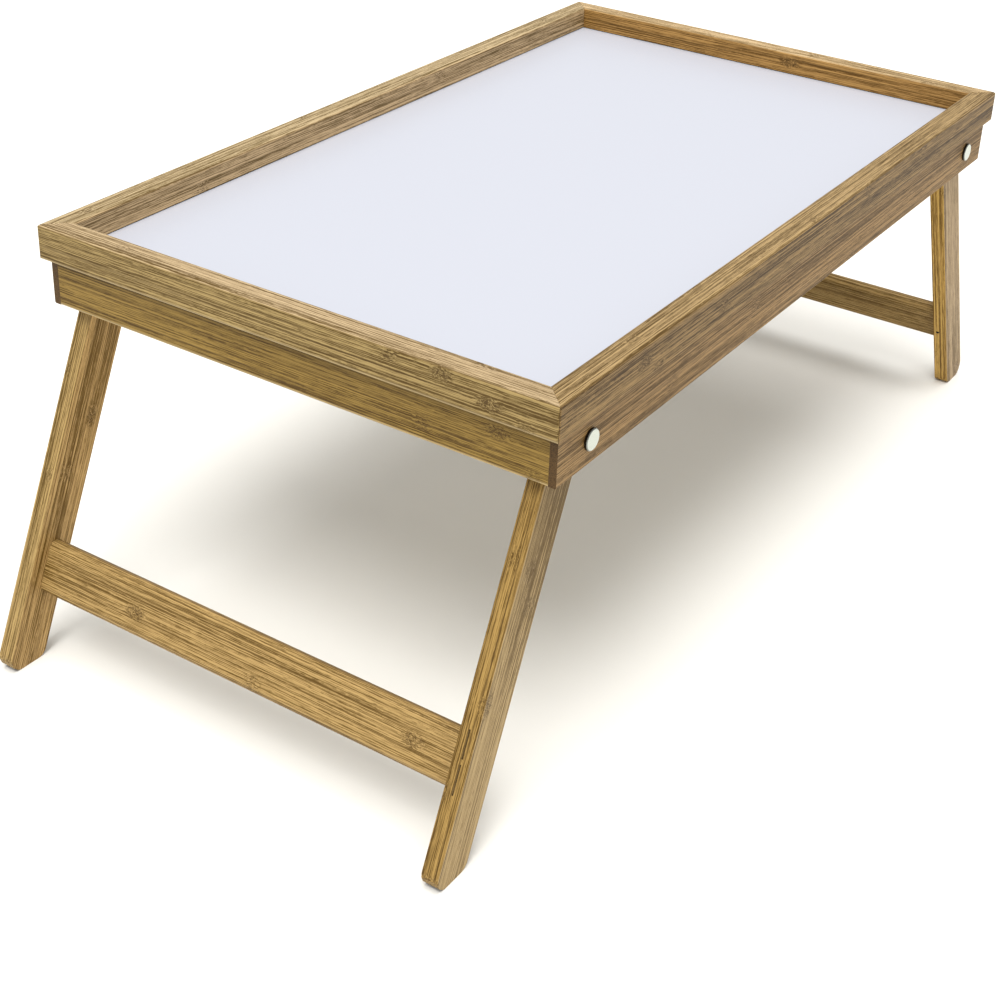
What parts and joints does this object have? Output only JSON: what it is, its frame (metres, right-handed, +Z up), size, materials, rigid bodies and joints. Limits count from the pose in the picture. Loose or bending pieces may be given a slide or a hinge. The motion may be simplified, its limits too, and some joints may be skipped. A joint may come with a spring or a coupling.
{
  "type": "folding tray table",
  "caption": "Rectangular bamboo tray with a rim and a white board, on two splayed leg frames that pivot on posts and fold flat underneath.",
  "frame": {"origin": "middle of the footprint, on the surface that the feet stand on", "axes": "+Z up, +X along the tray's long side, +Y across it; the leg frames are at the two X ends"},
  "size_m": [0.6224, 0.3, 0.223],
  "materials": {
    "rail_bamboo": "laminated strip bamboo, clear satin lacquer",
    "skirt_bamboo": "laminated strip bamboo, clear satin lacquer",
    "leg_bamboo": "laminated strip bamboo, clear satin lacquer",
    "crossbar_bamboo": "laminated strip bamboo, clear satin lacquer",
    "dowel_bamboo": "turned, unfinished",
    "board_core": "medium-density fibreboard",
    "white_laminate": "white melamine, satin",
    "backing_sheet": "off-white balancing sheet, matt",
    "pivot_steel": "bright nickel-plated",
    "brad_steel": "bright drawn wire"
  },
  "bodies": {
    "tray": {"rail_front": "rail_bamboo", "rail_back": "rail_bamboo", "rail_left": "rail_bamboo", "rail_right": "rail_bamboo", "skirt_front": "skirt_bamboo", "skirt_back": "skirt_bamboo", "skirt_left": "skirt_bamboo", "skirt_right": "skirt_bamboo", "board_core": "board_core", "board_facing": "white_laminate", "board_backing": "backing_sheet", "skirt_dowels": "dowel_bamboo", "mitre_dowels": "dowel_bamboo", "pivot_posts": "pivot_steel", "pivot_spacers": "pivot_steel", "pivot_washers": "pivot_steel", "pivot_screws": "pivot_steel"},
    "left_leg_frame": {"leg_left_front": "leg_bamboo", "leg_left_back": "leg_bamboo", "crossbar_left": "crossbar_bamboo", "brads_left": "brad_steel"},
    "right_leg_frame": {"leg_right_front": "leg_bamboo", "leg_right_back": "leg_bamboo", "crossbar_right": "crossbar_bamboo", "brads_right": "brad_steel"}
  },
  "joints": [
    {"name": "left_leg_fold", "type": "hinge", "parent": "tray", "child": "left_leg_frame", "pos_m": [-0.2187, 0, 0.1925], "axis": [0, -1, 0], "range_deg": [0, 113.5]},
    {"name": "right_leg_fold", "type": "hinge", "parent": "tray", "child": "right_leg_frame", "pos_m": [0.2187, 0, 0.1925], "axis": [0, 1, 0], "range_deg": [0, 113.5]}
  ]
}
